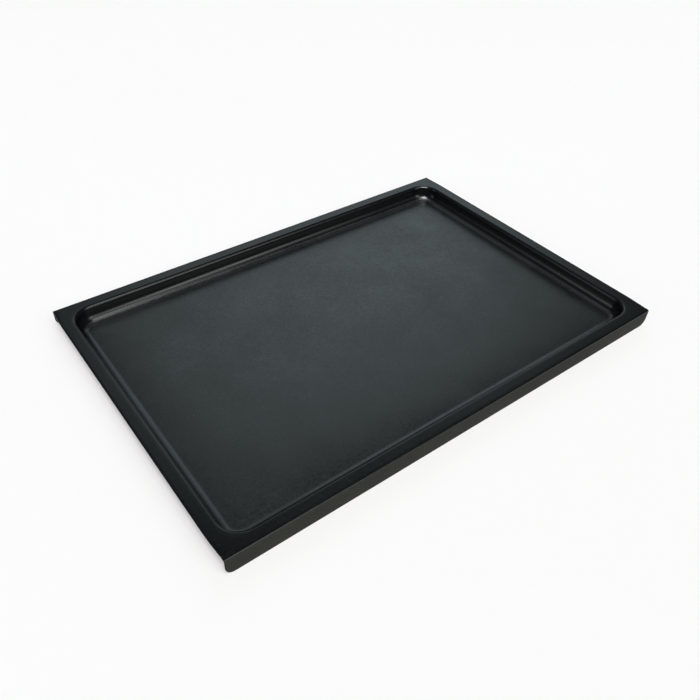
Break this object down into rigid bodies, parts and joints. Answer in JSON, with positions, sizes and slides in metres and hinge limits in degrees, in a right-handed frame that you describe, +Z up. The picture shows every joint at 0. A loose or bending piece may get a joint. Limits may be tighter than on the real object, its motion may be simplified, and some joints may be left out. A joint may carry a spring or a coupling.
{
  "type": "flat top griddle tray",
  "caption": "Shallow rectangular griddle tray in black enamelled sheet steel, with a flat rim all round and its long edges turned down into flanges.",
  "frame": {"origin": "under the centre of the tray, level with the lower edges of the two flanges that it stands on", "axes": "+X along the long side, +Y from the front flange to the rear flange, +Z up through the cooking surface"},
  "size_m": [0.46, 0.32, 0.017],
  "materials": {
    "pan_enamel": "glossy black vitreous enamel with a fine orange-peel grain",
    "flange_enamel": "glossy black vitreous enamel, slightly warmer where it thins over the fold",
    "weld_enamel": "black enamel over ground weld"
  },
  "bodies": {
    "root": {"griddle_pan": "pan_enamel", "front_flange": "flange_enamel", "rear_flange": "flange_enamel", "front_plug_weld_1": "weld_enamel", "front_plug_weld_2": "weld_enamel", "front_plug_weld_3": "weld_enamel", "front_plug_weld_4": "weld_enamel", "front_plug_weld_5": "weld_enamel", "front_plug_weld_6": "weld_enamel", "front_plug_weld_7": "weld_enamel", "front_plug_weld_8": "weld_enamel", "rear_plug_weld_1": "weld_enamel", "rear_plug_weld_2": "weld_enamel", "rear_plug_weld_3": "weld_enamel", "rear_plug_weld_4": "weld_enamel", "rear_plug_weld_5": "weld_enamel", "rear_plug_weld_6": "weld_enamel", "rear_plug_weld_7": "weld_enamel", "rear_plug_weld_8": "weld_enamel"}
  },
  "joints": []
}
